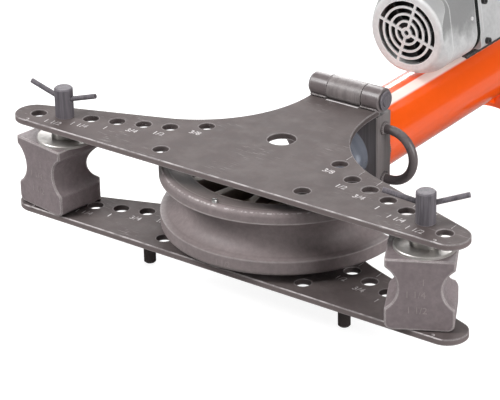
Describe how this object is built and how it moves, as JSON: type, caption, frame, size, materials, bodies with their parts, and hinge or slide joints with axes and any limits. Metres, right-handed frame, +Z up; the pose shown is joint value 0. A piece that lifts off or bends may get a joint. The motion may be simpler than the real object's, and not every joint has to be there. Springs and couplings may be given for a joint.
{
  "type": "pipe_bender",
  "caption": "Electric hydraulic pipe bender: hinged open wing plates, a ram with a half-wheel former, swivelling support blocks on pins, and a motor pump on an orange cylinder",
  "frame": {"origin": "Middle of the footprint on the floor, half way between the former's front and the end cap's back, under the middle of the ram", "axes": "+X across the wings, to the right in the picture; +Y from the former back along the ram to the cylinder's end; +Z up"},
  "size_m": [0.6622, 0.721, 0.2829],
  "materials": {
    "wing_paint": "semi-matte dark warm grey, pale along worn edges",
    "cast_grey": "fine cast grain, dark warm grey",
    "zinc_steel": "zinc plated, soft shine",
    "ram_steel": "ground bluish steel",
    "pin_steel": "dark oiled steel",
    "orange_paint": "glossy orange",
    "motor_alloy": "light grey, cast and lightly polished",
    "black_steel": "black, semi-matte",
    "bright_steel": "turned steel",
    "copper": "varnished copper wire",
    "core_steel": "stacked sheet",
    "rubber_black": "matte black",
    "plastic_black": "fine grain",
    "button_green": "glossy green"
  },
  "bodies": {
    "frame": {"cable_gland": "zinc_steel", "carry_handle_left": "wing_paint", "carry_handle_right": "wing_paint", "cover_bolts": "black_steel", "cylinder_end_cap": "orange_paint", "cylinder_nose": "ram_steel", "cylinder_tube": "orange_paint", "fan_cover": "motor_alloy", "filler_cap": "plastic_black", "front_bearing": "bright_steel", "front_foot_left": "black_steel", "front_foot_right": "black_steel", "hinge_pin": "pin_steel", "hinge_washers": "zinc_steel", "housing_bolts": "black_steel", "lower_wing_plate": "wing_paint", "motor_end_shield": "motor_alloy", "motor_gasket": "rubber_black", "motor_shell": "motor_alloy", "mounting_saddle": "black_steel", "pipe_unions": "zinc_steel", "pressure_pipe": "bright_steel", "pump_block": "bright_steel", "pump_housing": "motor_alloy", "pump_plungers": "bright_steel", "pump_rear_cover": "motor_alloy", "rear_bearing": "bright_steel", "rear_foot_left": "rubber_black", "rear_foot_right": "rubber_black", "rear_stand": "orange_paint", "release_valve_body": "zinc_steel", "return_spring": "black_steel", "rod_seal": "rubber_black", "rod_wiper": "rubber_black", "stator_core": "core_steel", "stator_windings": "copper", "switch_box": "plastic_black", "yoke_block": "wing_paint"},
    "upper_wing": {"upper_wing_plate": "wing_paint", "wing_knuckle_left": "wing_paint", "wing_knuckle_right": "wing_paint"},
    "ram": {"ram_rod": "ram_steel", "piston": "bright_steel", "piston_seal": "rubber_black", "former": "cast_grey"},
    "block_left": {"support_block_left": "cast_grey", "block_bush_left": "zinc_steel"},
    "block_right": {"support_block_right": "cast_grey", "block_bush_right": "zinc_steel"},
    "pin_left": {"wing_pin_left": "pin_steel", "tommy_bar_left": "pin_steel"},
    "pin_right": {"wing_pin_right": "pin_steel", "tommy_bar_right": "pin_steel"},
    "rotor": {"motor_shaft": "bright_steel", "rotor_core": "core_steel", "cooling_fan": "plastic_black"},
    "release": {"release_lever": "bright_steel"},
    "button": {"start_button": "button_green"}
  },
  "joints": [
    {"name": "wing_hinge", "type": "hinge", "parent": "frame", "child": "upper_wing", "pos_m": [0, -0.06225, 0.1861], "axis": [-1, 0, 0], "range_deg": [0, 105]},
    {"name": "ram_slide", "type": "slide", "parent": "frame", "child": "ram", "axis": [0, -1, 0], "range_m": [-0.075, 0.105], "deforming": ["return_spring"]},
    {"name": "block_left_swivel", "type": "hinge", "parent": "frame", "child": "block_left", "pos_m": [-0.26712, -0.30457, 0.055], "axis": [0, 0, 1], "continuous": true},
    {"name": "block_right_swivel", "type": "hinge", "parent": "frame", "child": "block_right", "pos_m": [0.26712, -0.30457, 0.055], "axis": [0, 0, 1], "continuous": true},
    {"name": "pin_left_lift", "type": "slide", "parent": "frame", "child": "pin_left", "axis": [0, 0, 1], "range_m": [0, 0.17]},
    {"name": "pin_right_lift", "type": "slide", "parent": "frame", "child": "pin_right", "axis": [0, 0, 1], "range_m": [0, 0.17]},
    {"name": "rotor_spin", "type": "hinge", "parent": "frame", "child": "rotor", "pos_m": [0, 0.1105, 0.2219], "axis": [0, 1, 0], "continuous": true},
    {"name": "release_turn", "type": "hinge", "parent": "frame", "child": "release", "pos_m": [0.026, 0.2995, 0.2339], "axis": [0, -1, 0], "range_deg": [0, 75]},
    {"name": "start_press", "type": "slide", "parent": "frame", "child": "button", "axis": [1, 0, 0], "range_m": [0, 0.004], "stiffness_N_per_m": 300, "springref_m": -0.002}
  ]
}
